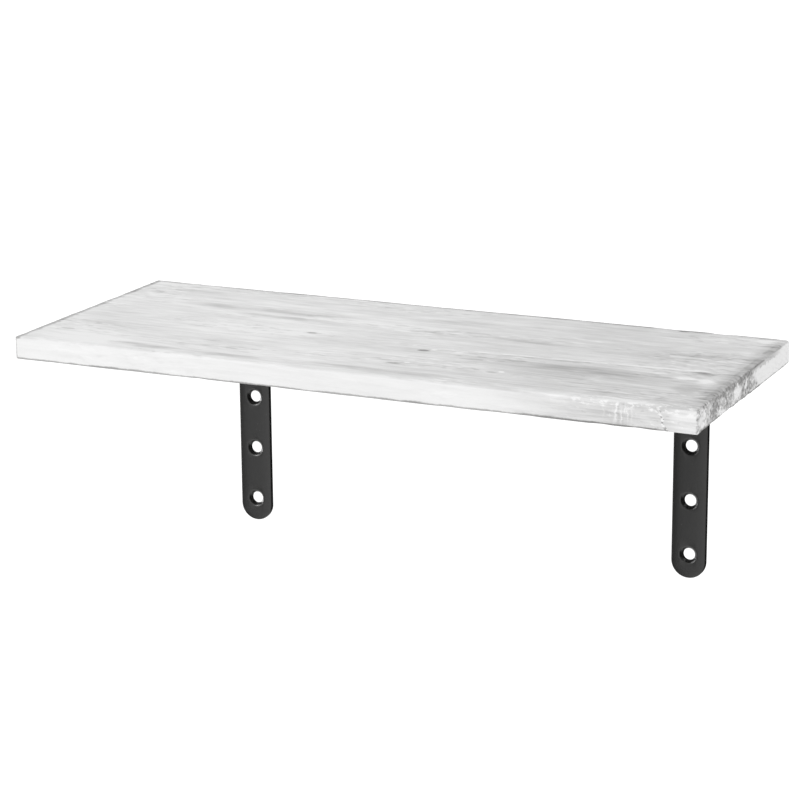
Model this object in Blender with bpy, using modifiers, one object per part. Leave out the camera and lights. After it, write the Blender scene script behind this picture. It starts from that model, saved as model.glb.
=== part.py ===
"""A wall shelf: one plank carried by two flat-steel angle brackets, with eight countersunk wood screws.

The origin is the middle of the board's back edge, on the plane of the wall. +X runs along the board to
the right as a person facing the shelf sees it, +Y points into the wall and +Z points up. Metres.
"""
import math

import bmesh
import bpy
from mathutils import Matrix, Vector

# The board
BOARD_LENGTH = 0.430
BOARD_DEPTH = 0.172
BOARD_THICKNESS = 0.0146
BOARD_EDGE_ROUND = 0.0016
BOARD_EDGE_STEPS = 3

# The brackets, each one steel strip with round ends, bent to an L with equal legs
STRIP_WIDTH = 0.0222
STRIP_THICKNESS = 0.003
STRIP_EDGE_ROUND = 0.0005
STRIP_END_STEPS = 18
LEG_LENGTH = 0.141
BEND_INNER_RADIUS = 0.003
BEND_STEPS = 8
BRACKET_CENTRES = {"left": -0.1435, "right": 0.1555}

# The holes, the same in both legs, countersunk on the inside of the angle
HOLES_IN_LEG = 4
HOLE_TO_TIP = 0.015
HOLE_PITCH = 0.0345
HOLE_RADIUS = 0.00375
COUNTERSINK_RADIUS = 0.0055
HOLE_STEPS = 24

# The wood screws: flat heads at 90 degrees, 10 gauge
SCREW_LENGTH = 0.0127
HEAD_RADIUS = 0.0049
HEAD_RIM = 0.0001
NECK_RADIUS = 0.0020
NECK_LENGTH = 0.0006
THREAD_RADIUS = 0.0024
THREAD_CORE_RADIUS = 0.0017
THREAD_PITCH = 0.00195
ROWS_IN_PITCH = 3
POINT_LENGTH = 0.0026
SCREW_STEPS = 12
HEAD_BELOW_STEEL = 0.00005
RECESS_SPAN = 0.0050
RECESS_BLADE = 0.0011
RECESS_DEPTH = 0.0016
RECESS_DRAFT = 0.55

GAP = 0.0003
WELD = 0.000001
MERGE = 0.00001

BOARD_UNDERSIDE = -BOARD_THICKNESS / 2
BRACKET_TOP = BOARD_UNDERSIDE - GAP
BEND_OUTER_RADIUS = BEND_INNER_RADIUS + STRIP_THICKNESS
BEND_LENGTH = (BEND_INNER_RADIUS + STRIP_THICKNESS / 2) * math.pi / 2
FLAT_LEG = LEG_LENGTH - BEND_OUTER_RADIUS
STRIP_LENGTH = 2 * FLAT_LEG + BEND_LENGTH


def clear_scene():
    for old in list(bpy.data.objects):
        bpy.data.objects.remove(old, do_unlink=True)


def new_collection(name):
    collection = bpy.data.collections.new(name)
    bpy.context.scene.collection.children.link(collection)
    return collection


def finish_material(name, colour, roughness, metallic):
    made = bpy.data.materials.new(name)
    made.use_nodes = True
    shader = made.node_tree.nodes["Principled BSDF"]
    shader.inputs["Base Color"].default_value = (*colour, 1.0)
    shader.inputs["Roughness"].default_value = roughness
    shader.inputs["Metallic"].default_value = metallic
    return made


def add_object(name, mesh, collection, finish=None):
    made = bpy.data.objects.new(name, mesh)
    collection.objects.link(made)
    if finish is not None:
        mesh.materials.clear()
        mesh.materials.append(finish)
    return made


def hide_cutter(cutter):
    cutter.hide_render = True
    cutter.display_type = "WIRE"
    return cutter


def evaluated_mesh(source):
    """The mesh of an object with its modifiers, or of a filled curve, with its caps welded on."""
    bpy.context.view_layer.update()
    mesh = bpy.data.meshes.new_from_object(source.evaluated_get(bpy.context.evaluated_depsgraph_get()))
    shape = bmesh.new()
    shape.from_mesh(mesh)
    bmesh.ops.remove_doubles(shape, verts=shape.verts, dist=WELD)
    shape.to_mesh(mesh)
    shape.free()
    return mesh


def turned_mesh(name, profile, steps, collection):
    """Turn a profile of (radius, height) points, listed top to bottom, about Z."""
    shape = bmesh.new()
    rims = [shape.verts.new((radius, 0, height)) for radius, height in profile]
    for upper, lower in zip(rims, rims[1:]):
        shape.edges.new((upper, lower))
    outline = bpy.data.meshes.new(name + "_profile")
    shape.to_mesh(outline)
    shape.free()
    source = add_object(name + "_profile", outline, collection)
    turn = source.modifiers.new("turn", "SCREW")
    turn.steps = steps
    turn.render_steps = steps
    turn.use_merge_vertices = True
    turn.merge_threshold = MERGE
    mesh = evaluated_mesh(source)
    bpy.data.objects.remove(source)
    return mesh


def cut(target, cutter):
    boolean = target.modifiers.new("cut_" + cutter.name, "BOOLEAN")
    boolean.operation = "DIFFERENCE"
    boolean.solver = "EXACT"
    boolean.object = cutter


def leg_hole_distances():
    """How far each hole of a leg is from the outside corner of the bend, nearest first."""
    from_tip = [HOLE_TO_TIP + HOLE_PITCH * step for step in range(HOLES_IN_LEG)]
    return sorted(LEG_LENGTH - distance for distance in from_tip)


def make_board(parts, cutters, finish):
    shape = bmesh.new()
    bmesh.ops.create_cube(shape, size=1.0)
    bmesh.ops.scale(shape, vec=(BOARD_LENGTH, BOARD_DEPTH, BOARD_THICKNESS), verts=shape.verts)
    bmesh.ops.translate(shape, vec=(0, -BOARD_DEPTH / 2, 0), verts=shape.verts)
    mesh = bpy.data.meshes.new("board")
    shape.to_mesh(mesh)
    shape.free()
    board = add_object("board", mesh, parts, finish)
    rounding = board.modifiers.new("rounded_edges", "BEVEL")
    rounding.width = BOARD_EDGE_ROUND
    rounding.segments = BOARD_EDGE_STEPS
    cut(board, pilot_holes(cutters))
    return board


def pilot_holes(cutters):
    """One blind hole for each screw, from below the board to just past the screw's point."""
    screw_face = BRACKET_TOP - STRIP_THICKNESS + HEAD_BELOW_STEEL
    top = screw_face + SCREW_LENGTH + GAP
    bottom = BRACKET_TOP - STRIP_THICKNESS
    shape = bmesh.new()
    for centre in BRACKET_CENTRES.values():
        for distance in leg_hole_distances():
            place = Matrix.Translation((centre, -distance, (top + bottom) / 2))
            bmesh.ops.create_cone(
                shape,
                cap_ends=True,
                segments=SCREW_STEPS,
                radius1=THREAD_RADIUS + GAP,
                radius2=THREAD_RADIUS + GAP,
                depth=top - bottom,
                matrix=place,
            )
    mesh = bpy.data.meshes.new("pilot_holes")
    shape.to_mesh(mesh)
    shape.free()
    return hide_cutter(add_object("pilot_holes", mesh, cutters))


def strip_outline():
    """The flat strip's outline, a long shape with round ends, in the plane of X and the strip's length."""
    radius = STRIP_WIDTH / 2
    points = []
    for centre, start in ((STRIP_LENGTH - radius, 0), (radius, math.pi)):
        for step in range(STRIP_END_STEPS + 1):
            angle = start + math.pi * step / STRIP_END_STEPS
            points.append((radius * math.cos(angle), centre + radius * math.sin(angle)))
    return points


def flat_strip(cutters):
    """The strip before it is bent, its edges rounded, with the outer face at Z = 0 and the inner above."""
    outline = strip_outline()
    curve = bpy.data.curves.new("strip_outline", "CURVE")
    curve.dimensions = "2D"
    curve.fill_mode = "BOTH"
    curve.extrude = STRIP_THICKNESS / 2 - STRIP_EDGE_ROUND
    curve.bevel_depth = STRIP_EDGE_ROUND
    curve.bevel_resolution = 1
    curve.offset = -STRIP_EDGE_ROUND
    spline = curve.splines.new("POLY")
    spline.points.add(len(outline) - 1)
    for point, (across, along) in zip(spline.points, outline):
        point.co = (across, along, 0, 1)
    spline.use_cyclic_u = True
    source = add_object("strip_outline", curve, cutters)
    mesh = evaluated_mesh(source)
    bpy.data.objects.remove(source)

    shape = bmesh.new()
    shape.from_mesh(mesh)
    bmesh.ops.translate(shape, vec=(0, 0, STRIP_THICKNESS / 2), verts=shape.verts)
    bmesh.ops.dissolve_limit(
        shape, angle_limit=math.radians(0.5), verts=shape.verts, edges=shape.edges
    )
    for step in range(BEND_STEPS + 1):
        bend_line = FLAT_LEG + BEND_LENGTH * step / BEND_STEPS
        everything = shape.verts[:] + shape.edges[:] + shape.faces[:]
        bmesh.ops.bisect_plane(
            shape, geom=everything, dist=WELD, plane_co=(0, bend_line, 0), plane_no=(0, 1, 0)
        )
    bmesh.ops.recalc_face_normals(shape, faces=shape.faces)
    shape.to_mesh(mesh)
    shape.free()
    return add_object("flat_strip", mesh, cutters)


def countersunk_holes(cutters):
    """Cutters for the eight holes of the flat strip, each a drill with a 90 degree countersink."""
    sink_depth = COUNTERSINK_RADIUS - HOLE_RADIUS
    over = STRIP_THICKNESS
    profile = [
        (0, STRIP_THICKNESS + over),
        (COUNTERSINK_RADIUS + over, STRIP_THICKNESS + over),
        (HOLE_RADIUS, STRIP_THICKNESS - sink_depth),
        (HOLE_RADIUS, -over),
        (0, -over),
    ]
    drill = turned_mesh("drill", profile, HOLE_STEPS, cutters)
    from_tip = [HOLE_TO_TIP + HOLE_PITCH * step for step in range(HOLES_IN_LEG)]
    places = from_tip + [STRIP_LENGTH - distance for distance in from_tip]
    holes = []
    for number, along in enumerate(places):
        hole = hide_cutter(add_object(f"hole_{number + 1}", drill, cutters))
        hole.location = (0, along, 0)
        holes.append(hole)
    return holes


def bent(point):
    """Where a point of the flat strip lies once the strip is bent, with the outer corner at the origin."""
    across, along, depth = point
    if along <= FLAT_LEG:
        return Vector((across, -depth, along - LEG_LENGTH))
    if along >= FLAT_LEG + BEND_LENGTH:
        return Vector((across, -BEND_OUTER_RADIUS - (along - FLAT_LEG - BEND_LENGTH), -depth))
    angle = math.pi / 2 * (along - FLAT_LEG) / BEND_LENGTH
    radius = BEND_OUTER_RADIUS - depth
    return Vector((
        across,
        -BEND_OUTER_RADIUS + radius * math.cos(angle),
        -BEND_OUTER_RADIUS + radius * math.sin(angle),
    ))


def bracket_mesh(cutters):
    strip = flat_strip(cutters)
    for hole in countersunk_holes(cutters):
        cut(strip, hole)
    mesh = evaluated_mesh(strip)
    mesh.name = "bracket"
    bpy.data.objects.remove(strip)
    for vertex in mesh.vertices:
        vertex.co = bent(vertex.co)
    shape = bmesh.new()
    shape.from_mesh(mesh)
    bmesh.ops.recalc_face_normals(shape, faces=shape.faces)
    shape.to_mesh(mesh)
    shape.free()
    return mesh


def screw_profile():
    """The screw's outline as (radius, height), with the face of its head at height 0, point downwards."""
    cone_end = HEAD_RIM + HEAD_RADIUS - NECK_RADIUS
    thread_start = cone_end + NECK_LENGTH
    rows = round((SCREW_LENGTH - thread_start) / THREAD_PITCH * ROWS_IN_PITCH)
    profile = [(0, 0), (HEAD_RADIUS, 0), (HEAD_RADIUS, -HEAD_RIM), (NECK_RADIUS, -cone_end)]
    for row in range(rows):
        depth = thread_start + (SCREW_LENGTH - thread_start) * row / rows
        taper = min(1.0, (SCREW_LENGTH - depth) / POINT_LENGTH)
        profile.append((THREAD_CORE_RADIUS * taper, -depth))
    profile.append((0, -SCREW_LENGTH))
    return profile


def raise_thread(mesh):
    """Move the points of the turned core outwards along a helix, fading in at the neck and at the point."""
    thread_start = HEAD_RIM + HEAD_RADIUS - NECK_RADIUS + NECK_LENGTH
    height = THREAD_RADIUS - THREAD_CORE_RADIUS
    for vertex in mesh.vertices:
        depth = -vertex.co.z
        radius = math.hypot(vertex.co.x, vertex.co.y)
        if depth < thread_start - WELD or radius < WELD:
            continue
        turn = math.atan2(vertex.co.y, vertex.co.x) / (2 * math.pi)
        phase = (depth / THREAD_PITCH + turn) % 1.0
        crest = max(0.0, 1.0 - ROWS_IN_PITCH * abs(phase - 0.5))
        fade_in = min(1.0, (depth - thread_start) / THREAD_PITCH)
        fade_out = min(1.0, (SCREW_LENGTH - depth) / POINT_LENGTH)
        grown = (radius + height * crest * fade_in * fade_out) / radius
        vertex.co.x *= grown
        vertex.co.y *= grown


def cross_recess(cutters):
    """Two crossed tapering blades that cut the drive recess into the head's face."""
    shape = bmesh.new()
    for angle in (0, math.pi / 2):
        block = bmesh.ops.create_cube(shape, size=1.0)["verts"]
        bmesh.ops.scale(shape, vec=(RECESS_SPAN, RECESS_BLADE, 2 * RECESS_DEPTH), verts=block)
        for vertex in block:
            if vertex.co.z < 0:
                vertex.co.x *= RECESS_DRAFT
        bmesh.ops.rotate(shape, cent=(0, 0, 0), matrix=Matrix.Rotation(angle, 3, "Z"), verts=block)
    mesh = bpy.data.meshes.new("cross_recess")
    shape.to_mesh(mesh)
    shape.free()
    cutter = hide_cutter(add_object("cross_recess", mesh, cutters))
    return cutter


def screw_mesh(cutters):
    """The screw, turned, threaded and recessed, then stood on its head with its point upwards."""
    mesh = turned_mesh("screw", screw_profile(), SCREW_STEPS, cutters)
    raise_thread(mesh)
    blank = add_object("screw_blank", mesh, cutters)
    recess = blank.modifiers.new("recess", "BOOLEAN")
    recess.operation = "DIFFERENCE"
    recess.solver = "EXACT"
    recess.use_self = True
    recess.object = cross_recess(cutters)
    finished = evaluated_mesh(blank)
    finished.name = "wood_screw"
    bpy.data.objects.remove(blank)
    finished.transform(Matrix.Rotation(math.pi, 4, "X"))
    return finished


def smooth(mesh):
    mesh.shade_smooth()
    mesh.set_sharp_from_angle(angle=math.radians(35))


def make_shelf():
    clear_scene()
    parts = new_collection("wall_shelf")
    cutters = new_collection("cutters")
    whitewash = finish_material("whitewashed_pine", (0.72, 0.73, 0.73), 0.7, 0.0)
    black_steel = finish_material("black_powder_coat", (0.045, 0.045, 0.043), 0.5, 0.0)
    zinc = finish_material("zinc_plated_steel", (0.55, 0.55, 0.53), 0.35, 1.0)

    make_board(parts, cutters, whitewash)

    angle_bracket = bracket_mesh(cutters)
    smooth(angle_bracket)
    wood_screw = screw_mesh(cutters)
    smooth(wood_screw)
    head_height = BRACKET_TOP - STRIP_THICKNESS + HEAD_BELOW_STEEL
    for side, centre in BRACKET_CENTRES.items():
        bracket = add_object(f"bracket_{side}", angle_bracket, parts, black_steel)
        bracket.location = (centre, 0, BRACKET_TOP)
        for number, distance in enumerate(leg_hole_distances()):
            screw = add_object(f"screw_{side}_{number + 1}", wood_screw, parts, zinc)
            screw.location = (centre, -distance, head_height)


make_shelf()
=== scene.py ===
"""Looks for the wall shelf: a whitewashed plank, two black flat-steel brackets and their wood screws.

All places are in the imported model's frame, in metres: +X along the board to the right, +Y into the wall,
+Z up, with the origin at the middle of the board's back edge.
"""
import math

import bmesh
import bpy
import numpy as np
from mathutils import Matrix, Vector, noise


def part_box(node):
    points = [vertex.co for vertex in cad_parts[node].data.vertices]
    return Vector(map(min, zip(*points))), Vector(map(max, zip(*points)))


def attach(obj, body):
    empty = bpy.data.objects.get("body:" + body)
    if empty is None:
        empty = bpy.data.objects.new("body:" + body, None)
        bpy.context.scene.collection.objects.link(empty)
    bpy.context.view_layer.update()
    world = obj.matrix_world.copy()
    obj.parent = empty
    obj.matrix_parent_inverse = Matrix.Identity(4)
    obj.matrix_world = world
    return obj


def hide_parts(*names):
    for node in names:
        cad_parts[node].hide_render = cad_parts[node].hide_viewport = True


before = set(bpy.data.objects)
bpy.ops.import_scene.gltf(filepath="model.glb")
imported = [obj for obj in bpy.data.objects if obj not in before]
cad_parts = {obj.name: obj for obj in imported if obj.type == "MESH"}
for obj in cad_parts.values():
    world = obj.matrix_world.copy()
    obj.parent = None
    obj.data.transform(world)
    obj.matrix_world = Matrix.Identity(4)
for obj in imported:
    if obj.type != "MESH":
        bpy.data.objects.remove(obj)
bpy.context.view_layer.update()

# Camera, as a direction from the object, a distance and a pan in the picture's plane
CAMERA_AZIMUTH = 24.92
CAMERA_ELEVATION = 15.01
CAMERA_ROLL = -0.47
CAMERA_DISTANCE = 1.6064
CAMERA_PAN = (-0.0357, -0.0506)
CAMERA_LENS = 115.6

FLOOR_DROP = 1.6
FLOOR_SIZE = 60.0

# Lamps: name, azimuth, elevation, distance, size, watts, and whether only glossy reflections see it
LAMPS = (
    ("key", 35, 35, 2.2, 1.0, 9, False),
    ("fill", -40, 20, 2.5, 1.4, 5, False),
    ("side", -95, -4, 1.4, 0.70, 14.0, True),
    ("lips", -47, 19, 1.4, 0.75, 17.0, True),
)

# A dark card at the right that only reflections see: its azimuths, radius, and lowest and highest edges
CARD_AZIMUTHS = (22, 190)
CARD_RADIUS = 1.5
CARD_HEIGHTS = (-1.5, 1.2)
CARD_STEPS = 24

# A dark sheet under the board, painted shade of the board's underside for reflections: its depth in the steel
# and its share of the board's size
SHADE_DEPTH = 0.0015
SHADE_SHARE = 0.97

# A small flag in front of each bracket, for the slow shading across its face: distance, azimuths and heights
FLAG_DISTANCE = 0.30
FLAG_AZIMUTHS = (-26.0, -3.0)
FLAG_HEIGHTS = (-0.36, 0.06)

# Steel strip
STRIP_EDGE_ROUND = 0.0006
STRIP_CROWN = 0.00030
STRIP_CROWN_POWER = 5
STRIP_END_STEPS = 48
BEND_STEPS = 20
HOLE_TO_TIP = 0.015
HOLE_RADIUS = 0.00375
COUNTERSINK_RADIUS = 0.0055
HOLE_STEPS = 64
HOLE_EDGE = 0.00025
RIM_ROUND = 0.0020
RIM_LIFT = 0.00001
RIM_STEPS = 8
BEND_INNER_RADIUS = 0.003
GRID_ACROSS = 0.0011
GRID_ALONG = 0.006
STEEL_SHARP_ANGLE = 30

# Screws
HEAD_RIM = 0.0001
NECK_RADIUS = 0.0020
NECK_LENGTH = 0.0006
THREAD_RADIUS = 0.0024
THREAD_CORE_RADIUS = 0.0017
THREAD_PITCH = 0.00195
ROWS_IN_PITCH = 8
POINT_LENGTH = 0.0026
SCREW_STEPS = 40
RECESS_SPAN = 0.0050
RECESS_BLADE = 0.0011
RECESS_DEPTH = 0.0016
RECESS_DRAFT = 0.55
SCREW_SHARP_ANGLE = 35
THREAD_STEEPNESS = 3.4

# Board: its grid steps along X, Y and Z and near its edges, and how far its faces lie inside its box
BOARD_STEPS = (0.0032, 0.0013, 0.0009)
EDGE_STEP = 0.0005
EDGE_MARGINS = (0.004, 0.004, 0.003)
ROUNDING = (0.0007, 0.0034)
INSET_MM = 0.3
HIGHEST_MM = 0.25
END_CUTS = 2
BOARD_SHARP_ANGLE = 70
PILOT_CLEARANCE = 0.0003

WELD = 0.000001
MERGE = 0.00001
MM = 0.001


# ---------------------------------------------------------------- meshes

def box_of(node):
    low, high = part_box(node)
    return Vector(low), Vector(high)


def new_object(name, mesh, finish=None):
    made = bpy.data.objects.new(name, mesh)
    bpy.context.scene.collection.objects.link(made)
    if finish is not None:
        mesh.materials.clear()
        mesh.materials.append(finish)
    return made


def evaluated_mesh(source):
    bpy.context.view_layer.update()
    mesh = bpy.data.meshes.new_from_object(source.evaluated_get(bpy.context.evaluated_depsgraph_get()))
    shape = bmesh.new()
    shape.from_mesh(mesh)
    bmesh.ops.remove_doubles(shape, verts=shape.verts, dist=WELD)
    shape.to_mesh(mesh)
    shape.free()
    return mesh


def moved_copy(mesh, matrix):
    copy = mesh.copy()
    copy.transform(matrix)
    return copy


def shade(mesh, sharp_degrees):
    mesh.shade_smooth()
    mesh.set_sharp_from_angle(angle=math.radians(sharp_degrees))


def turned_mesh(name, profile, steps):
    """Turn a profile of (radius, height) points, listed top to bottom, about Z."""
    shape = bmesh.new()
    rims = [shape.verts.new((radius, 0, height)) for radius, height in profile]
    for upper, lower in zip(rims, rims[1:]):
        shape.edges.new((upper, lower))
    outline = bpy.data.meshes.new(name)
    shape.to_mesh(outline)
    shape.free()
    source = new_object(name, outline)
    turn = source.modifiers.new("turn", "SCREW")
    turn.steps = steps
    turn.render_steps = steps
    turn.use_merge_vertices = True
    turn.merge_threshold = MERGE
    mesh = evaluated_mesh(source)
    bpy.data.objects.remove(source)
    return mesh


def cut(target, cutter):
    boolean = target.modifiers.new("cut", "BOOLEAN")
    boolean.operation = "DIFFERENCE"
    boolean.solver = "EXACT"
    boolean.use_self = True
    boolean.object = cutter


# ---------------------------------------------------------------- board

def spaced(half, step, fine, margin):
    """Grid lines from -half to half: close together within margin of each end and step apart between."""
    inner = half - margin
    count = max(1, round(2 * inner / step))
    middle = np.linspace(-inner, inner, count + 1)
    edge = np.linspace(inner, half, max(1, round(margin / fine)) + 1)[1:]
    return np.concatenate([-edge[::-1], middle, edge])


def box_grid(xs, ys, zs):
    """A box's surface as one closed mesh, cut along the given grid lines."""
    number = {}
    points = []
    quads = []

    def corner(i, j, k):
        key = (i, j, k)
        if key not in number:
            number[key] = len(points)
            points.append((xs[i], ys[j], zs[k]))
        return number[key]

    nx, ny, nz = len(xs) - 1, len(ys) - 1, len(zs) - 1
    for k, flip in ((0, True), (nz, False)):
        for i in range(nx):
            for j in range(ny):
                quad = [corner(i, j, k), corner(i + 1, j, k), corner(i + 1, j + 1, k), corner(i, j + 1, k)]
                quads.append(quad[::-1] if flip else quad)
    for j, flip in ((0, False), (ny, True)):
        for i in range(nx):
            for k in range(nz):
                quad = [corner(i, j, k), corner(i + 1, j, k), corner(i + 1, j, k + 1), corner(i, j, k + 1)]
                quads.append(quad[::-1] if flip else quad)
    for i, flip in ((0, True), (nx, False)):
        for j in range(ny):
            for k in range(nz):
                quad = [corner(i, j, k), corner(i, j + 1, k), corner(i, j + 1, k + 1), corner(i, j, k + 1)]
                quads.append(quad[::-1] if flip else quad)
    mesh = bpy.data.meshes.new("board_wood")
    mesh.from_pydata(points, [], quads)
    return mesh


def refine_right_end(mesh, half_length):
    """Cut the right end's faces finer, for the torn fibres there."""
    shape = bmesh.new()
    shape.from_mesh(mesh)
    edges = [e for e in shape.edges if min(v.co.x for v in e.verts) > half_length - WELD]
    bmesh.ops.subdivide_edges(shape, edges=edges, cuts=END_CUTS, use_grid_fill=True)
    shape.to_mesh(mesh)
    shape.free()


def smoothstep(low, high, value):
    t = np.clip((value - low) / (high - low), 0.0, 1.0)
    return t * t * (3 - 2 * t)


def field(points, scale, offset=0.0):
    """Smooth noise in -1..1 at each point, with its own scale along each axis."""
    shift = Vector((offset, offset * 0.7, -offset))
    return np.array([noise.noise(Vector(p) + shift) for p in points * np.array(scale)])


def board_mesh(low, high):
    centre = np.array((low + high) / 2)
    half = np.array((high - low) / 2)
    xs, ys, zs = (
        spaced(side, step, EDGE_STEP, margin)
        for side, step, margin in zip(half, BOARD_STEPS, EDGE_MARGINS)
    )
    mesh = box_grid(xs, ys, zs)
    refine_right_end(mesh, half[0])
    flat = np.empty(len(mesh.vertices) * 3)
    mesh.vertices.foreach_get("co", flat)
    flat = flat.reshape(-1, 3)

    # A rounding that wanders: softer and chipped at the right end, where the board is most worn.
    right = smoothstep(0.12, 0.21, flat[:, 0]) * (0.25 + 0.75 * smoothstep(-3 * MM, 4 * MM, flat[:, 2]))
    wander = field(flat, (28, 28, 28), 3.0)
    chipped = np.maximum(field(flat, (95, 70, 70), 13.0) - 0.1, 0.0) * (1.0 + 2.5 * right)
    radius = (1.4 + 0.5 * wander + 0.7 * right + 1.6 * chipped) * MM
    radius = np.clip(radius, *ROUNDING)[:, None]
    inner = np.clip(flat, -(half - radius), half - radius)
    away = flat - inner
    length = np.linalg.norm(away, axis=1, keepdims=True)
    normal = away / np.maximum(length, 1e-9)
    points = inner + normal * radius

    # Slow unevenness, brushed grain along X, saw marks on the ends and torn fibres at the right end's front.
    slow = field(points, (9, 22, 22), 11.0) * 0.22
    grain = field(points, (9, 210, 210), 5.0) * 0.06 + field(points, (24, 520, 520), 7.0) * 0.035
    on_end = np.abs(normal[:, 0])
    torn_part = 1 - smoothstep(-0.005, 0.018, points[:, 1] + points[:, 2])
    torn = on_end * smoothstep(0.20, 0.213, points[:, 0]) * torn_part
    chips = field(points, (90, 210, 170), 2.0) * 0.5 + field(points, (200, 620, 480), 9.0) * 0.35
    splinters = field(points, (200, 1300, 500), 6.0) * 0.2
    saw = on_end * field(points, (200, 260, 900), 4.0) * 0.05
    raised = np.minimum(slow + grain * (1 - on_end) + saw + torn * (chips + splinters), HIGHEST_MM)
    shift = (raised - INSET_MM) * MM
    points = points + normal * shift[:, None] + centre
    mesh.vertices.foreach_set("co", points.ravel())
    mesh.update()
    return mesh


def pilot_holes(low, screws):
    """One blind hole for each screw, from below the board to just past the screw's point."""
    shape = bmesh.new()
    for screw_low, screw_high in (box_of(name) for name in screws):
        bottom = low.z - PILOT_CLEARANCE
        top = screw_high.z + PILOT_CLEARANCE
        middle = (screw_low + screw_high) / 2
        bmesh.ops.create_cone(
            shape,
            cap_ends=True,
            segments=SCREW_STEPS,
            radius1=THREAD_RADIUS + PILOT_CLEARANCE,
            radius2=THREAD_RADIUS + PILOT_CLEARANCE,
            depth=top - bottom,
            matrix=Matrix.Translation((middle.x, middle.y, (top + bottom) / 2)),
        )
    mesh = bpy.data.meshes.new("pilot_holes")
    shape.to_mesh(mesh)
    shape.free()
    return new_object("pilot_holes", mesh)


def drilled_board(low, high, screws):
    blank = new_object("blank_board", board_mesh(low, high))
    holes = pilot_holes(low, screws)
    cut(blank, holes)
    mesh = evaluated_mesh(blank)
    bpy.data.objects.remove(blank)
    bpy.data.objects.remove(holes)
    mesh.name = "board_wood"
    shade(mesh, BOARD_SHARP_ANGLE)
    return mesh


# ---------------------------------------------------------------- brackets

def strip_sizes(low, high, screws):
    """The strip's sizes, read from a bracket's box and from the places of the screws in its upper leg."""
    top = high.z
    leg = high.z - low.z
    distances = sorted(-(box_of(s)[0].y + box_of(s)[1].y) / 2 for s in screws)
    thickness = top - min(box_of(s)[0].z for s in screws) + 0.05 * MM
    return {
        "leg": leg,
        "width": high.x - low.x,
        "thickness": round(thickness, 5),
        "holes": distances,
    }


def bend_lengths(sizes):
    outer = BEND_INNER_RADIUS + sizes["thickness"]
    bend = (BEND_INNER_RADIUS + sizes["thickness"] / 2) * math.pi / 2
    flat = sizes["leg"] - outer
    return outer, bend, flat


def strip_blank(sizes):
    outer, bend, flat = bend_lengths(sizes)
    total = 2 * flat + bend
    radius = sizes["width"] / 2
    thickness = sizes["thickness"]
    outline = []
    for centre, start in ((total - radius, 0), (radius, math.pi)):
        for step in range(STRIP_END_STEPS + 1):
            angle = start + math.pi * step / STRIP_END_STEPS
            outline.append((radius * math.cos(angle), centre + radius * math.sin(angle)))
    curve = bpy.data.curves.new("strip_outline", "CURVE")
    curve.dimensions = "2D"
    curve.fill_mode = "BOTH"
    curve.extrude = thickness / 2 - STRIP_EDGE_ROUND
    curve.bevel_depth = STRIP_EDGE_ROUND
    curve.bevel_resolution = 3
    curve.offset = -STRIP_EDGE_ROUND
    spline = curve.splines.new("POLY")
    spline.points.add(len(outline) - 1)
    for point, (across, along) in zip(spline.points, outline):
        point.co = (across, along, 0, 1)
    spline.use_cyclic_u = True
    source = new_object("strip_outline", curve)
    mesh = evaluated_mesh(source)
    bpy.data.objects.remove(source)

    shape = bmesh.new()
    shape.from_mesh(mesh)
    bmesh.ops.translate(shape, vec=(0, 0, thickness / 2), verts=shape.verts)
    bmesh.ops.dissolve_limit(shape, angle_limit=math.radians(0.5), verts=shape.verts, edges=shape.edges)
    lines = [((0, flat + bend * step / BEND_STEPS, 0), (0, 1, 0)) for step in range(BEND_STEPS + 1)]
    legs = round(flat / GRID_ALONG)
    for step in range(1, legs):
        lines.append(((0, flat * step / legs, 0), (0, 1, 0)))
        lines.append(((0, flat + bend + flat * step / legs, 0), (0, 1, 0)))
    columns = round(sizes["width"] / GRID_ACROSS)
    for step in range(1, columns):
        lines.append(((sizes["width"] * (step / columns - 0.5), 0, 0), (1, 0, 0)))
    for place, across in lines:
        everything = shape.verts[:] + shape.edges[:] + shape.faces[:]
        bmesh.ops.bisect_plane(shape, geom=everything, dist=WELD, plane_co=place, plane_no=across)
    bmesh.ops.recalc_face_normals(shape, faces=shape.faces)
    shape.to_mesh(mesh)
    shape.free()
    return new_object("strip", mesh)


def hole_profile(thickness):
    """A drill with a 90 degree countersink, whose rim rolls over into the strip's face."""
    over = 2 * MM
    sink = COUNTERSINK_RADIUS - HOLE_RADIUS
    rim_centre = (COUNTERSINK_RADIUS + RIM_ROUND * math.tan(math.pi / 8), thickness + RIM_LIFT - RIM_ROUND)
    profile = [(0, thickness + over), (rim_centre[0], thickness + over)]
    for step in range(RIM_STEPS + 1):
        angle = math.pi / 4 * step / RIM_STEPS
        across = rim_centre[0] - RIM_ROUND * math.sin(angle)
        profile.append((across, rim_centre[1] + RIM_ROUND * math.cos(angle)))
    return profile + [
        (HOLE_RADIUS + HOLE_EDGE * 0.5, thickness - sink + HOLE_EDGE * 0.1),
        (HOLE_RADIUS, thickness - sink - HOLE_EDGE * 0.6),
        (HOLE_RADIUS, HOLE_EDGE),
        (HOLE_RADIUS + HOLE_EDGE * 0.3, HOLE_EDGE * 0.3),
        (HOLE_RADIUS + HOLE_EDGE, -HOLE_EDGE * 0.1),
        (HOLE_RADIUS + HOLE_EDGE, -over),
        (0, -over),
    ]


def bent(point, sizes):
    outer, bend, flat = bend_lengths(sizes)
    across, along, depth = point
    if along <= flat:
        return Vector((across, -depth, along - sizes["leg"]))
    if along >= flat + bend:
        return Vector((across, -outer - (along - flat - bend), -depth))
    angle = math.pi / 2 * (along - flat) / bend
    radius = outer - depth
    return Vector((across, -outer + radius * math.cos(angle), -outer + radius * math.sin(angle)))


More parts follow.
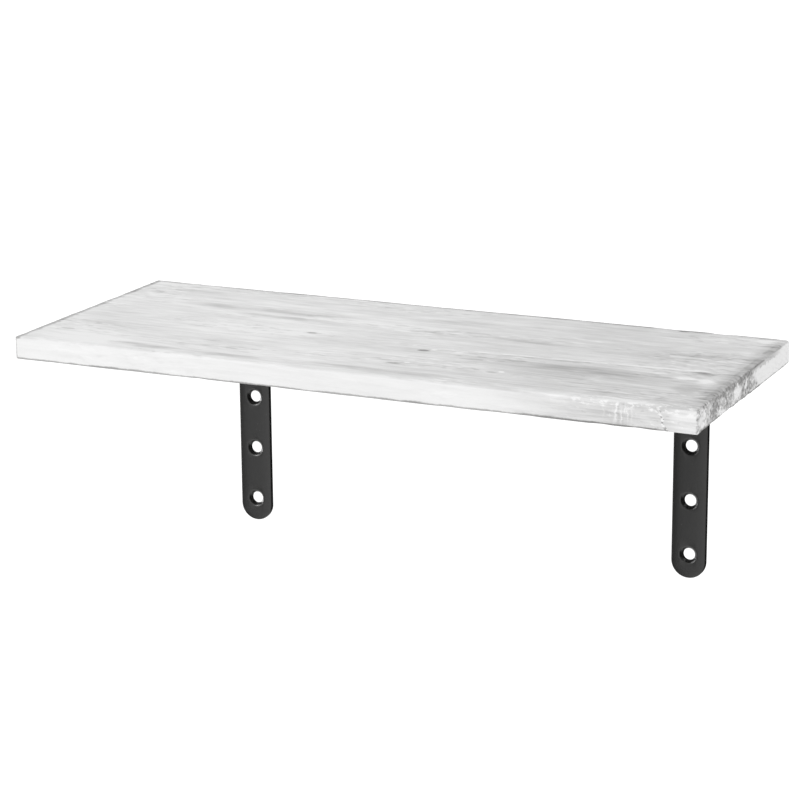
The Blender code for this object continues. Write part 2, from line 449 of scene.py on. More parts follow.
def bracket_mesh(sizes):
    """One steel strip: blanked, drilled, its rolled faces crowned a little, and bent to an L."""
    outer, bend, flat = bend_lengths(sizes)
    total = 2 * flat + bend
    strip = strip_blank(sizes)
    drill = turned_mesh("drill", hole_profile(sizes["thickness"]), HOLE_STEPS)
    from_tip = [sizes["leg"] - distance for distance in sizes["holes"]]
    cutters = []
    for along in from_tip + [total - distance for distance in from_tip]:
        hole = new_object("hole", drill)
        hole.location = (0, along, 0)
        cutters.append(hole)
        cut(strip, hole)
    mesh = evaluated_mesh(strip)
    mesh.name = "bracket_steel"
    bpy.data.objects.remove(strip)
    for hole in cutters:
        bpy.data.objects.remove(hole)
    half_width = sizes["width"] / 2
    for vertex in mesh.vertices:
        across, along, depth = vertex.co
        fall = STRIP_CROWN * abs(across / half_width) ** STRIP_CROWN_POWER
        vertex.co = bent((across, along, depth * (1 - fall / sizes["thickness"])), sizes)
    shape = bmesh.new()
    shape.from_mesh(mesh)
    bmesh.ops.recalc_face_normals(shape, faces=shape.faces)
    shape.to_mesh(mesh)
    shape.free()
    shade(mesh, STEEL_SHARP_ANGLE)
    return mesh


# ---------------------------------------------------------------- screws

def screw_profile(length, head_radius):
    cone_end = HEAD_RIM + head_radius - NECK_RADIUS
    thread_start = cone_end + NECK_LENGTH
    rows = round((length - thread_start) / THREAD_PITCH * ROWS_IN_PITCH)
    profile = [(0, 0), (head_radius - 0.1 * MM, 0), (head_radius, -HEAD_RIM), (NECK_RADIUS, -cone_end)]
    for row in range(rows):
        depth = thread_start + (length - thread_start) * row / rows
        taper = min(1.0, (length - depth) / POINT_LENGTH)
        profile.append((THREAD_CORE_RADIUS * taper, -depth))
    profile.append((0, -length))
    return profile


def raise_thread(mesh, length, head_radius):
    thread_start = HEAD_RIM + head_radius - NECK_RADIUS + NECK_LENGTH
    height = THREAD_RADIUS - THREAD_CORE_RADIUS
    for vertex in mesh.vertices:
        depth = -vertex.co.z
        radius = math.hypot(vertex.co.x, vertex.co.y)
        if depth < thread_start - WELD or radius < WELD:
            continue
        turn = math.atan2(vertex.co.y, vertex.co.x) / (2 * math.pi)
        phase = (depth / THREAD_PITCH + turn) % 1.0
        crest = max(0.0, 1.0 - THREAD_STEEPNESS * abs(phase - 0.5))
        fade_in = min(1.0, (depth - thread_start) / THREAD_PITCH)
        fade_out = min(1.0, (length - depth) / POINT_LENGTH)
        grown = (radius + height * crest * fade_in * fade_out) / radius
        vertex.co.x *= grown
        vertex.co.y *= grown


def screw_mesh(length, head_radius):
    mesh = turned_mesh("screw", screw_profile(length, head_radius), SCREW_STEPS)
    raise_thread(mesh, length, head_radius)
    shape = bmesh.new()
    for angle in (0, math.pi / 2):
        block = bmesh.ops.create_cube(shape, size=1.0)["verts"]
        bmesh.ops.scale(shape, vec=(RECESS_SPAN, RECESS_BLADE, 2 * RECESS_DEPTH), verts=block)
        for vertex in block:
            if vertex.co.z < 0:
                vertex.co.x *= RECESS_DRAFT
        bmesh.ops.rotate(shape, cent=(0, 0, 0), matrix=Matrix.Rotation(angle, 3, "Z"), verts=block)
    recess_mesh = bpy.data.meshes.new("recess")
    shape.to_mesh(recess_mesh)
    shape.free()
    recess = new_object("recess", recess_mesh)
    blank = new_object("blank", mesh)
    cut(blank, recess)
    finished = evaluated_mesh(blank)
    bpy.data.objects.remove(blank)
    bpy.data.objects.remove(recess)
    finished.name = "wood_screw_steel"
    finished.transform(Matrix.Rotation(math.pi, 4, "X"))
    shade(finished, SCREW_SHARP_ANGLE)
    return finished


# ---------------------------------------------------------------- materials

class Graph:
    """A short way to write a material's nodes as sums."""

    def __init__(self, name):
        self.material = bpy.data.materials.new(name)
        self.material.use_nodes = True
        self.tree = self.material.node_tree
        self.shader = self.tree.nodes["Principled BSDF"]
        self.place = self.tree.nodes.new("ShaderNodeTexCoord").outputs["Object"]

    def feed(self, socket, value):
        if isinstance(value, bpy.types.NodeSocket):
            self.tree.links.new(value, socket)
        else:
            socket.default_value = value

    def math(self, operation, *values):
        node = self.tree.nodes.new("ShaderNodeMath")
        node.operation = operation
        for socket, value in zip(node.inputs, values):
            self.feed(socket, value)
        return node.outputs[0]

    def vector_math(self, operation, *values):
        node = self.tree.nodes.new("ShaderNodeVectorMath")
        node.operation = operation
        for socket, value in zip(node.inputs, values):
            self.feed(socket, value)
        return node.outputs["Value" if operation == "LENGTH" else "Vector"]

    def add(self, *values):
        total = values[0]
        for value in values[1:]:
            total = self.math("ADD", total, value)
        return total

    def times(self, *values):
        total = values[0]
        for value in values[1:]:
            total = self.math("MULTIPLY", total, value)
        return total

    def less(self, a, b):
        return self.math("SUBTRACT", a, b)

    def swing(self, value, amount):
        """A noise value in 0..1 turned into a swing of the given amount either side of zero."""
        return self.times(self.less(value, 0.5), amount)

    def step(self, value, low, high, start=0.0, end=1.0):
        """A smooth step from start to end as value goes from low to high."""
        node = self.tree.nodes.new("ShaderNodeMapRange")
        node.interpolation_type = "SMOOTHSTEP"
        self.feed(node.inputs["Value"], value)
        node.inputs["From Min"].default_value = min(low, high)
        node.inputs["From Max"].default_value = max(low, high)
        node.inputs["To Min"].default_value = start if low < high else end
        node.inputs["To Max"].default_value = end if low < high else start
        return node.outputs["Result"]

    def axes(self, vector):
        node = self.tree.nodes.new("ShaderNodeSeparateXYZ")
        self.feed(node.inputs[0], vector)
        return node.outputs

    def vector(self, x, y, z):
        node = self.tree.nodes.new("ShaderNodeCombineXYZ")
        for socket, value in zip(node.inputs, (x, y, z)):
            self.feed(socket, value)
        return node.outputs[0]

    def noise(self, point, scale, detail=3.0, roughness=0.5, offset=0.0, output="Fac"):
        """Noise in 0..1, with its own scale along each axis."""
        node = self.tree.nodes.new("ShaderNodeTexNoise")
        shift = (offset, offset * 0.7, -offset)
        self.feed(node.inputs["Vector"], self.vector_math("MULTIPLY_ADD", point, scale, shift))
        node.inputs["Scale"].default_value = 1.0
        node.inputs["Detail"].default_value = detail
        node.inputs["Roughness"].default_value = roughness
        return node.outputs[output]

    def frayed(self, point, scale, amount, offset):
        """The point pushed about by noise, by up to half the amount along each axis."""
        push = self.noise(point, scale, 4.0, 0.65, offset, "Color")
        push = self.vector_math("SUBTRACT", push, (0.5, 0.5, 0.5))
        return self.vector_math("MULTIPLY_ADD", push, amount, point)

    def spot(self, point, place, size):
        """1 at a place, fading to 0 at the given half sizes along X, Y and Z."""
        scale = tuple(1 / s for s in size)
        shift = tuple(-p / s for p, s in zip(place, size))
        reach = self.vector_math("LENGTH", self.vector_math("MULTIPLY_ADD", point, scale, shift))
        return self.step(reach, 1.0, 0.30)

    def mix(self, factor, first, second):
        node = self.tree.nodes.new("ShaderNodeMix")
        node.data_type = "RGBA"
        self.feed(node.inputs["Factor"], factor)
        self.feed(node.inputs["A"], first)
        self.feed(node.inputs["B"], second)
        return next(s for s in node.outputs if s.enabled)

    def bump(self, height, distance, strength=1.0):
        node = self.tree.nodes.new("ShaderNodeBump")
        node.inputs["Strength"].default_value = strength
        node.inputs["Distance"].default_value = distance
        self.feed(node.inputs["Height"], height)
        return node.outputs["Normal"]


def grey(value, warmth=0.0):
    return (value * (1 + warmth), value, value * (1 - warmth), 1.0)


# The board's marks, in millimetres. Knots of the top: x, y, half length, half width, darkness
KNOTS = (
    (-54, -94, 4.4, 2.8, 0.55),
    (26, -108, 4.8, 2.9, 0.95),
    (22, -142, 7.0, 3.2, 0.58),
    (82, -140, 5.0, 2.4, 0.36),
    (150, -4, 4.6, 2.6, 0.80),
)

# Grey streaks and white rubbed patches of the top: x, y, half length, half width, change of cover
TOP_MARKS = (
    (-104, -51, 80, 9.0, -0.22),
    (-92, -52, 46, 5.0, -0.12),
    (-78, -66, 60, 5.0, -0.20),
    (8, -65, 26, 5.0, -0.22),
    (68, -64, 50, 4.0, -0.13),
    (150, -60, 70, 3.6, -0.07),
    (106, -115, 84, 13.0, -0.17),
    (152, -113, 38, 9.0, -0.11),
    (-132, -161, 44, 6.5, -0.25),
    (-80, -162, 34, 4.6, -0.17),
    (-5, -160, 38, 7.0, -0.24),
    (52, -161, 34, 4.6, -0.14),
    (20, -36, 28, 12.0, -0.05),
    (193, -96, 10, 6.0, -0.36),
    (196, -132, 14, 15.0, -0.20),
    (186, -111, 9, 4.6, 0.42),
    (200, -113, 9, 6.5, 0.36),
    (-180, -158, 44, 16.0, 0.14),
    (-75, -101, 40, 7.0, 0.12),
    (150, -168, 66, 7.0, 0.26),
    (-55, -169, 30, 5.0, 0.14),
    (204, -12, 6, 11.0, 0.20),
)

# Bare and white blotches of the torn right end: y, z, half length, half height, change of cover
END_MARKS = (
    (-142, 0.0, 11, 8.0, -0.50),
    (-118, 0.0, 12, 9.0, -0.20),
    (-91, -1.0, 5, 8.0, -0.35),
    (-80, -1.0, 6, 8.0, -0.35),
    (-163, -1.0, 9, 9.0, 0.45),
    (-130, -5.0, 7, 3.5, 0.60),
    (-103, 0.0, 8, 5.5, 0.85),
    (-86, 1.0, 3.4, 3.4, 0.90),
)

# One long grain line of the top: x and y where it starts, its rise along X, and its half width
GRAIN_LINE = (35, -101, 0.057, 1.7)

# Marks longer than this, in millimetres, have long frayed edges along the grain; shorter ones crumble
LONG_MARK = 20

# Wash on each face. The top, front and end amounts are partly painted light and shade: whiter on the end and
# front, darker on the top, for how light falls on them
TOP_COVER_AND_SHADE = 0.86
FRONT_COVER_AND_LIGHT = 0.93
END_COVER_AND_LIGHT = 1.0
# Painted shade: the underside holds less wash and is darker, partly a thinner wash there and partly standing
# in for the shade under the board in the steel's reflections
UNDER_COVER_AND_SHADE = 0.68
TORN_COVER = 0.52

# Tones: the wash, and the bare wood's light and dark fibres
WASH_TONE = 0.728
PALE_WOOD_TONE = 0.31
DARK_WOOD_TONE = 0.12

# Growth rings: the pith's place in Y and Z, and the rings' spacing
PITH = (-0.051, -0.085)
RING_SPACING = 0.0031


def growth_rings(g, grained):
    """Dark latewood lines of growth rings about a pith below the board."""
    x, y, z = g.axes(grained)
    sway = g.noise(grained, (3, 9, 9), 2.0, 0.5, 3.1)
    pith_y = g.less(y, PITH[0])
    pith_z = g.less(z, PITH[1])
    ring = g.math("SQRT", g.add(g.times(pith_y, pith_y), g.times(pith_z, pith_z)))
    ring = g.add(ring, g.swing(sway, 0.020))
    phase = g.math("FRACT", g.times(ring, 1 / RING_SPACING))
    return g.times(g.step(phase, 0.45, 0.93), g.step(phase, 1.0, 0.95))


def bent_round_knots(g):
    """The object's coordinates with the grain flowing round the knots."""
    x, y, z = g.axes(g.place)
    flow = y
    for kx, ky, long, wide, dark in KNOTS:
        near = g.spot(g.place, (kx * MM, ky * MM, 0.007), (9 * long * MM, 5 * wide * MM, 0.05))
        flow = g.less(flow, g.times(g.less(y, ky * MM), near, 0.6))
    return g.vector(x, flow, z)


def edge_wear_and_shade(g, low, high):
    """How far each edge is painted grey: partly rubbed-back wood, partly painted shade along the rounded
    edges; the top's front edge is left white.
    """
    x, y, z = g.axes(g.place)
    middle = (low + high) / 2
    half = (high - low) / 2
    on_top = g.step(z, half.z - 2.2 * MM, half.z - 1.2 * MM)
    from_end = g.times(g.less(half.x, g.math("ABSOLUTE", x)), g.less(1.2, g.times(on_top, 0.75)))
    off_middle = g.math("ABSOLUTE", g.less(y, middle.y))
    from_side = g.times(g.less(half.y, off_middle), g.less(1.2, g.times(on_top, 0.62)))
    from_face = g.times(g.less(half.z, g.math("ABSOLUTE", z)), 1.2)
    nearest = g.math("MINIMUM", from_end, from_side)
    farther = g.math("MAXIMUM", from_end, from_side)
    second = g.math("MAXIMUM", nearest, g.math("MINIMUM", farther, from_face))
    uneven = g.noise(g.place, (90, 90, 160), 4.0, 0.7, 41.0)
    # The grey edge band: rubbed wood and painted shade of the rounded edges together
    rubbed = g.step(g.add(second, g.swing(uneven, 3.0 * MM)), 2.5 * MM, 1.2 * MM)
    near_front = g.step(y, low.y + 6 * MM, low.y + 3 * MM)
    upper = g.times(g.step(z, 0.0, 2 * MM), g.step(x, 3 * MM - half.x, 5 * MM - half.x))
    kept_white = g.times(near_front, g.math("MAXIMUM", upper, g.step(x, 0.190, 0.200)))
    right_corners = g.math("MAXIMUM", g.step(y, -0.014, -0.006), g.step(y, -0.140, -0.156))
    kept_corners = g.times(g.step(x, 0.205, 0.209), g.step(z, 1 * MM, 3 * MM), right_corners, 0.75)
    kept_rim = g.times(g.step(x, 0.209, 0.212), g.step(z, 3 * MM, 5 * MM), 0.78)
    return g.times(rubbed, g.less(1.0, kept_white), g.less(1.0, kept_corners), g.less(1.0, kept_rim))


def whitewash(low, high):
    """Thin white stain over brushed softwood: fibres, streaks, knots, rubbed edges with painted edge shade,
    painted light and shade in each face's amount of wash, and a torn right end.
    """
    g = Graph("whitewashed_pine")
    x, y, z = g.axes(g.place)
    half = (high - low) / 2
    on_top = g.step(z, half.z - 1.6 * MM, half.z - 0.8 * MM)
    on_front = g.times(g.step(y, low.y + 1.6 * MM, low.y + 0.8 * MM), g.less(1.0, on_top))
    on_right = g.step(x, half.x - 1.6 * MM, half.x - 0.7 * MM)
    on_end = g.math("MAXIMUM", on_right, g.step(x, 1.6 * MM - half.x, 0.7 * MM - half.x))

    # Fibres, from broad clouds of stain to single brush lines.
    grained = bent_round_knots(g)
    latewood = growth_rings(g, grained)
    clouds = g.noise(g.place, (10, 32, 32), 4.0, 0.55, 21.0)
    strokes = g.noise(grained, (34, 210, 210), 4.0, 0.62, 0.0)
    fibres = g.noise(grained, (60, 760, 760), 3.0, 0.6, 7.0)
    dashes = g.noise(g.place, (110, 330, 330), 1.0, 0.5, 27.0)
    dash_zone = g.step(g.noise(g.place, (13, 36, 36), 2.0, 0.5, 51.0), 0.46, 0.60)
    texture = g.add(
        g.swing(clouds, 0.55),
        g.swing(strokes, 0.72),
        g.swing(fibres, 0.34),
        g.times(dash_zone, g.step(dashes, 0.58, 0.70), -0.24),
        g.times(dash_zone, g.step(dashes, 0.42, 0.32), 0.20),
    )

    # How much stain each face holds: less towards the right, and all of it on the front's left part. The
    # faces' own amounts are partly painted light and shade: whiter on the end and front, darker on the top and
    # underside.
    top_right = g.step(x, -0.06, 0.15)
    top_front_right = g.times(g.step(x, 0.02, 0.14), g.step(y, -0.095, -0.115))
    front_right = g.step(x, 0.080, 0.155)
    top = g.add(TOP_COVER_AND_SHADE, g.times(top_right, -0.16), g.times(top_front_right, -0.08))
    front = g.add(FRONT_COVER_AND_LIGHT, g.times(front_right, -0.28), g.times(g.step(x, 0.196, 0.204), 0.20))
    cover = g.add(
        g.times(on_top, g.less(top, UNDER_COVER_AND_SHADE)),
        g.times(on_front, g.less(front, UNDER_COVER_AND_SHADE)),
        g.times(on_end, g.less(1.0, on_top), END_COVER_AND_LIGHT - UNDER_COVER_AND_SHADE),
        UNDER_COVER_AND_SHADE,
    )
    calm = g.less(1.0, g.times(g.math("MAXIMUM", g.times(on_front, g.less(1.0, front_right)), on_end), 0.72))
    cover = g.add(cover, g.times(texture, calm))
    hidden_rings = g.math("MAXIMUM", g.math("MAXIMUM", on_top, on_front), g.times(on_end, 0.8))
    cover = g.less(cover, g.times(latewood, g.less(0.13, g.times(hidden_rings, 0.11))))

    # Streaks, rubbed patches and the long grain line of the top.
    ragged = g.frayed(g.place, (30, 150, 150), (0.060, 0.010, 0.0), 33.0)
    crumbled = g.frayed(g.place, (90, 300, 150), (0.016, 0.006, 0.0), 35.0)
    marks = 0.0
    for sx, sy, long, wide, change in TOP_MARKS:
        edge = ragged if long > LONG_MARK else crumbled
        mark = g.spot(edge, (sx * MM, sy * MM, half.z), (long * MM, wide * MM, 3 * MM))
        marks = g.add(marks, g.times(mark, change))
    patchy = g.noise(g.place, (32, 120, 120), 3.0, 0.6, 37.0)
    cover = g.add(cover, g.times(marks, g.step(patchy, 0.25, 0.70, 0.60, 1.45)))
    line_x, line_y, rise, line_half = (value * MM for value in GRAIN_LINE)
    wobble = g.swing(g.noise(g.place, (45, 0, 0), 3.0, 0.5, 2.0), 3.0 * MM)
    off_line = g.less(g.add(y, wobble), g.add(line_y, g.times(g.less(x, line_x), rise / MM)))
    broken = g.step(g.noise(g.place, (70, 70, 0), 3.0, 0.6, 61.0), 0.38, 0.56)
    on_line = g.times(g.step(x, line_x - 0.005, line_x + 0.010), on_top, broken)
    pale = g.step(g.math("ABSOLUTE", off_line), line_half, 0.2 * line_half)
    dark = g.step(g.math("ABSOLUTE", g.add(off_line, 1.8 * line_half)), line_half, 0.2 * line_half)
    cover = g.add(cover, g.times(on_line, pale, 0.32), g.times(on_line, dark, -0.26))

    # Knots: a dark core with a pale fleck on its right.
    small = g.frayed(g.place, (160, 500, 500), (0.0035, 0.0022, 0.0), 71.0)
    for kx, ky, long, wide, dark in KNOTS:
        core = g.spot(small, (kx * MM, ky * MM, half.z), (long * MM, wide * MM, 4 * MM))
        fleck = g.spot(small, ((kx + long) * MM, (ky + 1.3 * wide) * MM, half.z), (2.6 * MM, 1.8 * MM, 4 * MM))
        cover = g.add(cover, g.times(core, -dark), g.times(fleck, 0.4))

    # The torn front part of the right end.
    slanted = g.vector(x, g.add(y, g.times(z, 0.5)), g.less(z, g.times(y, 0.2)))
    tears = g.noise(slanted, (120, 260, 300), 5.0, 0.72, 5.0)
    splinters = g.noise(slanted, (120, 420, 380), 2.0, 0.6, 15.0)
    shaken = g.frayed(g.place, (90, 190, 240), (0.0, 0.012, 0.007), 45.0)
    _, shaken_y, shaken_z = g.axes(shaken)
    bare_from = g.add(shaken_y, g.times(shaken_z, 1.1))
    torn_part = g.times(on_right, g.step(bare_from, -0.066, -0.071))
    torn = g.add(TORN_COVER, g.swing(tears, 1.4), g.swing(splinters, 2.6))
    for sy, sz, long, tall, change in END_MARKS:
        mark = g.spot(shaken, (half.x, sy * MM, sz * MM), (5 * MM, long * MM, tall * MM))
        torn = g.add(torn, g.times(mark, change))
    cover = g.add(g.times(cover, g.less(1.0, torn_part)), g.times(torn, torn_part))

    # The top's rim along the right end: grey at its edge and down the end's first two millimetres.
    rim = g.step(g.add(x, g.swing(clouds, 0.020)), half.x - 13 * MM, half.x - 2 * MM)
    band = g.times(on_right, g.step(shaken_z, half.z - 4.0 * MM, half.z - 2.6 * MM), g.step(y, -0.014, -0.034))
    outer_edge = g.step(z, half.z - 1.4 * MM, half.z - 0.5 * MM)
    band = g.times(band, g.step(shaken_y, -0.150, -0.125), g.less(1.0, g.times(outer_edge, 0.45)))
    rim = g.times(rim, on_top, g.step(y, -0.006, -0.016), g.step(y, -0.166, -0.150, 0.35, 1.0))
    cover = g.add(cover, g.times(rim, -0.28), g.times(band, -0.50))

    # Scuffs and scratches of the front near that end.
    worn_front = g.times(on_front, g.step(x, 0.095, 0.165))
    lines = g.noise(g.place, (60, 300, 900), 3.0, 0.6, 81.0)
    chips = g.noise(g.place, (210, 400, 420), 3.0, 0.6, 91.0)
    cover = g.add(
        cover,
        g.times(worn_front, g.swing(lines, 0.60)),
        g.times(worn_front, g.step(chips, 0.60, 0.70), 0.18),
        g.times(worn_front, g.step(chips, 0.40, 0.32), -0.13),
    )
    bowed = g.frayed(g.place, (90, 90, 220), (0.006, 0.0, 0.0), 11.0)
    arcs = g.noise(bowed, (800, 60, 60), 1.0, 0.5, 14.0)
    arc_zone = g.spot(g.place, (0.170, low.y, 0.001), (0.012, 0.004, 0.009))
    arc_lines = g.add(g.step(arcs, 0.52, 0.62, 0.0, 0.25), g.step(arcs, 0.45, 0.36, 0.0, -0.10))
    cover = g.add(cover, g.times(arc_zone, arc_lines))
    crack_x, _, _ = g.axes(bowed)
    off_crack = g.less(crack_x, g.less(0.1945, g.times(z, 0.45)))
    beads = g.step(g.noise(g.place, (300, 0, 900), 1.0, 0.5, 8.0), 0.42, 0.58, 0.34, -0.50)
    crack = g.times(on_front, g.step(g.math("ABSOLUTE", off_crack), 1.2 * MM, 0.6 * MM))
    cover = g.add(cover, g.times(crack, beads))
    near_edge = g.times(g.step(y, low.y + 9 * MM, low.y + 3 * MM), g.step(z, 2 * MM, 5 * MM))
    specks = g.times(g.step(x, 0.120, 0.170), near_edge)
    cover = g.add(cover, g.times(specks, g.step(chips, 0.50, 0.62), 0.35))

    # Edges painted grey: partly rubbed back to grey wood, partly painted shade along the rounded edges.
    wear_and_shade = edge_wear_and_shade(g, low, high)
    # Painted shade: the lower edges, which face down, and the back edges are painted darker still
    below = g.step(z, 0.0, -4 * MM)
    back = g.step(y, -12 * MM, -6 * MM)
    cover = g.less(cover, g.times(wear_and_shade, g.add(0.58, g.times(below, 0.16), g.times(back, 0.08))))

    cover = g.math("MAXIMUM", g.math("MINIMUM", cover, 1.0), 0.0)
    darkness = g.add(g.times(latewood, 0.4), g.times(fibres, 0.5))
    wood = g.mix(darkness, grey(PALE_WOOD_TONE, 0.008), grey(DARK_WOOD_TONE, 0.010))
    g.feed(g.shader.inputs["Base Color"], g.mix(cover, wood, grey(WASH_TONE)))

    g.feed(g.shader.inputs["Roughness"], g.add(0.78, g.swing(fibres, 0.3), g.times(cover, -0.12)))
    g.shader.inputs["Specular IOR Level"].default_value = 0.35
    height = g.add(
        g.times(strokes, 0.5),
        g.times(fibres, 0.6),
        g.times(latewood, 0.2),
        g.times(torn_part, g.add(tears, splinters), 0.9),
        g.times(cover, 0.3),
    )
    g.feed(g.shader.inputs["Normal"], g.bump(height, 0.30 * MM, 0.9))
    return g.material


def powder_coat():
    """Satin black powder coat: fine orange peel over faint mill lines, with a few dust specks."""
    g = Graph("black_powder_coat")
    peel = g.noise(g.place, (900, 900, 900), 3.0, 0.55, 1.0)
    cloud = g.noise(g.place, (60, 25, 25), 3.0, 0.5, 4.0)
    lines = g.noise(g.place, (1400, 9, 9), 2.0, 0.5, 9.0)
    specks = g.step(g.noise(g.place, (420, 420, 420), 2.0, 0.5, 17.0), 0.70, 0.78)
    tone = g.add(g.times(cloud, 0.6), g.times(lines, 0.4))
    colour = g.mix(tone, grey(0.004, 0.02), grey(0.012, 0.04))
    colour = g.mix(g.times(specks, 0.35), colour, grey(0.050, 0.02))
    g.feed(g.shader.inputs["Base Color"], colour)
    g.feed(g.shader.inputs["Roughness"], g.add(0.24, g.times(cloud, 0.07), g.times(peel, 0.05)))
    g.shader.inputs["Specular IOR Level"].default_value = 0.6
    height = g.add(g.times(peel, 0.8), g.times(lines, 0.25))
    g.feed(g.shader.inputs["Normal"], g.bump(height, 0.03 * MM, 0.6))
    return g.material


def zinc():
    """Dull zinc plate with turning marks and small stains."""
    g = Graph("zinc_plated_steel")
    stain = g.noise(g.place, (500, 500, 500), 4.0, 0.6, 2.0)
    fine = g.noise(g.place, (2600, 2600, 5200), 2.0, 0.5, 8.0)
    g.feed(g.shader.inputs["Base Color"], g.mix(stain, grey(0.36, 0.02), grey(0.62, -0.01)))
    g.feed(g.shader.inputs["Roughness"], g.add(0.30, g.times(stain, 0.22)))
    g.shader.inputs["Metallic"].default_value = 1.0
    g.feed(g.shader.inputs["Normal"], g.bump(fine, 0.02 * MM, 0.5))
    return g.material


def floor_material():
    g = Graph("pale_floor")
    mottle = g.noise(g.place, (1.5, 1.5, 0), 3.0, 0.5, 0.0)
    g.feed(g.shader.inputs["Base Color"], g.mix(mottle, grey(0.90), grey(0.93)))
    g.shader.inputs["Roughness"].default_value = 0.9
    g.shader.inputs["Specular IOR Level"].default_value = 0.0
    g.shader.inputs["Emission Color"].default_value = (1.0, 1.0, 1.0, 1.0)
    g.shader.inputs["Emission Strength"].default_value = 0.25
    return g.material


# ---------------------------------------------------------------- studio

def direction(azimuth, elevation):
    """A unit vector from the object towards an azimuth, 0 in front and 90 at the right, and an elevation."""
    a, e = math.radians(azimuth), math.radians(elevation)
    return Vector((math.sin(a) * math.cos(e), -math.cos(a) * math.cos(e), math.sin(e)))


def make_camera():
    data = bpy.data.cameras.new("camera")
    data.sensor_width = 36.0
    data.lens = CAMERA_LENS
    data.clip_start = 0.05
    data.clip_end = 200.0
    camera = bpy.data.objects.new("camera", data)
    bpy.context.scene.collection.objects.link(camera)
    back = direction(CAMERA_AZIMUTH, CAMERA_ELEVATION)
    level = (-back).cross(Vector((0, 0, 1))).normalized()
    upright = level.cross(-back)
    roll = math.radians(CAMERA_ROLL)
    right = level * math.cos(roll) + upright * math.sin(roll)
    up = upright * math.cos(roll) - level * math.sin(roll)
    turn = Matrix((right, up, back)).transposed().to_4x4()
    place = back * CAMERA_DISTANCE + right * CAMERA_PAN[0] + up * CAMERA_PAN[1]
    camera.location = place
    camera.rotation_mode = "QUATERNION"
    camera.rotation_quaternion = turn.to_quaternion()
    bpy.context.scene.camera = camera


def area_light(name, azimuth, elevation, distance, size, watts, only_gloss):
    """A soft disk light; one that only glossy reflections see gives highlights and no light of its own."""
    data = bpy.data.lights.new(name, "AREA")
    data.shape = "DISK"
    data.size = size
    data.energy = watts
    lamp = bpy.data.objects.new(name, data)
    bpy.context.scene.collection.objects.link(lamp)
    towards = direction(azimuth, elevation)
    lamp.location = towards * distance
    lamp.rotation_mode = "QUATERNION"
    lamp.rotation_quaternion = towards.to_track_quat("Z", "Y")
    lamp.visible_camera = False
    lamp.visible_diffuse = not only_gloss


def gloss_only(card):
    """Hide a card from everything but glossy reflections."""
    card.visible_camera = False
    card.visible_diffuse = False
    card.visible_transmission = False
    card.visible_shadow = False


def black_card(name, finish):
    """A dark card round part of the studio, which only reflections see: it shapes the satin steel."""
    first, last = CARD_AZIMUTHS
    arc = [math.radians(first + (last - first) * step / CARD_STEPS) for step in range(CARD_STEPS + 1)]
    points = []
    for height in CARD_HEIGHTS:
        points += [(CARD_RADIUS * math.sin(a), -CARD_RADIUS * math.cos(a), height) for a in arc]
    row = CARD_STEPS + 1
    quads = [(step, step + 1, row + step + 1, row + step) for step in range(CARD_STEPS)]
    mesh = bpy.data.meshes.new(name)
    mesh.from_pydata(points, [], quads)
    gloss_only(new_object(name, mesh, finish))


def flag_beside(bracket, finish):
    """A dark flag in front of a bracket and to its left, so that its face grows lighter to the right."""
    low, high = box_of(bracket)
    place = Vector(((low.x + high.x) / 2, 0.0, high.z))
    camera = bpy.context.scene.camera.location
    mirrored = -math.atan2(camera.x - place.x, place.y - camera.y)
    corners = []
    for azimuth, height in zip((0, 1, 1, 0), (0, 0, 1, 1)):
        towards = mirrored + math.radians(FLAG_AZIMUTHS[azimuth])
        reach = Vector((math.sin(towards), -math.cos(towards), 0)) * FLAG_DISTANCE
        corners.append(place + reach + Vector((0, 0, FLAG_HEIGHTS[height])))
    mesh = bpy.data.meshes.new("flag")
    mesh.from_pydata(corners, [], [(0, 1, 2, 3)])
    gloss_only(new_object(f"flag_{bracket}", mesh, finish))


def shade_under_board(finish):
    """A dark sheet under the board, inside the steel's thickness: painted shade of the board's underside in
    the lower legs' reflections.
    """
    low, high = box_of("board")
    level = box_of("bracket_left")[1].z - SHADE_DEPTH
    corners = [(low.x, low.y), (high.x, low.y), (high.x, high.y), (low.x, high.y)]
    mesh = bpy.data.meshes.new("shade")
    mesh.from_pydata([(cx * SHADE_SHARE, cy * SHADE_SHARE, level) for cx, cy in corners], [], [(0, 1, 2, 3)])
    gloss_only(new_object("shade", mesh, finish))


def card_material():
    g = Graph("card_cloth")
    weave = g.noise(g.place, (60, 60, 60), 2.0, 0.5, 0.0)
    g.feed(g.shader.inputs["Base Color"], g.mix(weave, grey(0.005), grey(0.010)))
    g.shader.inputs["Roughness"].default_value = 1.0
    g.shader.inputs["Specular IOR Level"].default_value = 0.0
    return g.material


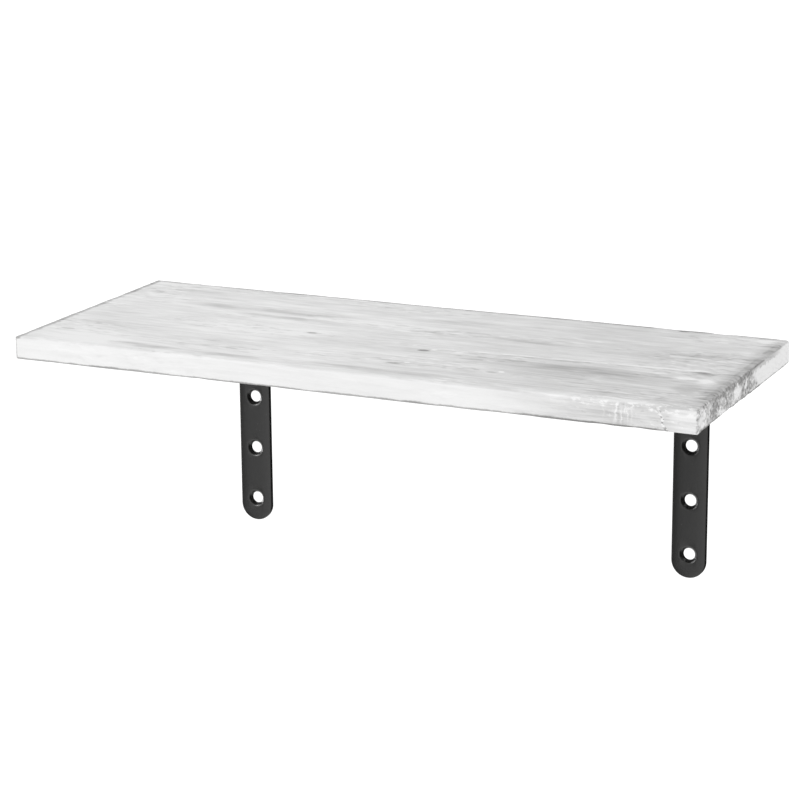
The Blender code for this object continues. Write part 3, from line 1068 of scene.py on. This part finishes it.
def make_studio():
    scene = bpy.context.scene
    scene.view_settings.view_transform = "Standard"
    world = bpy.data.worlds.new("studio")
    world.use_nodes = True
    sky = world.node_tree.nodes["Background"]
    sky.inputs["Color"].default_value = (1.0, 1.0, 1.0, 1.0)
    sky.inputs["Strength"].default_value = 1.0
    scene.world = world

    for lamp in LAMPS:
        area_light(*lamp)
    cloth = card_material()
    black_card("card_1", cloth)
    shade_under_board(cloth)
    for bracket in ("bracket_left", "bracket_right"):
        flag_beside(bracket, cloth)

    shape = bmesh.new()
    bmesh.ops.create_grid(shape, x_segments=4, y_segments=4, size=FLOOR_SIZE / 2)
    mesh = bpy.data.meshes.new("floor")
    shape.to_mesh(mesh)
    shape.free()
    floor = new_object("floor", mesh, floor_material())
    floor.location.z = -FLOOR_DROP


# ---------------------------------------------------------------- the shelf

def show(piece, node):
    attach(piece, "root")
    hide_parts(node)


def make_shelf():
    low, high = box_of("board")
    all_screws = sorted(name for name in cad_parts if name.startswith("screw_"))
    board = new_object("board_plank", drilled_board(low, high, all_screws), whitewash(low, high))
    show(board, "board")

    coat = powder_coat()
    plate = zinc()
    steel = None
    wood_screw = None
    for side in ("left", "right"):
        screws = sorted(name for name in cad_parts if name.startswith(f"screw_{side}_"))
        bracket_low, bracket_high = box_of(f"bracket_{side}")
        if steel is None:
            steel = bracket_mesh(strip_sizes(bracket_low, bracket_high, screws))
        place = ((bracket_low.x + bracket_high.x) / 2, 0, bracket_high.z)
        bracket = new_object(f"bracket_{side}_steel", moved_copy(steel, Matrix.Translation(place)), coat)
        show(bracket, f"bracket_{side}")
        for name in screws:
            screw_low, screw_high = box_of(name)
            if wood_screw is None:
                wood_screw = screw_mesh(screw_high.z - screw_low.z, (screw_high.x - screw_low.x) / 2)
            middle = (screw_low + screw_high) / 2
            turn = Matrix.Rotation(math.radians(37 * middle.y / 0.0345 + 50 * middle.x), 4, "Z")
            place = Matrix.Translation((middle.x, middle.y, screw_low.z)) @ turn
            screw = new_object(f"{name}_steel", moved_copy(wood_screw, place), plate)
            show(screw, name)


make_camera()
make_studio()
make_shelf()
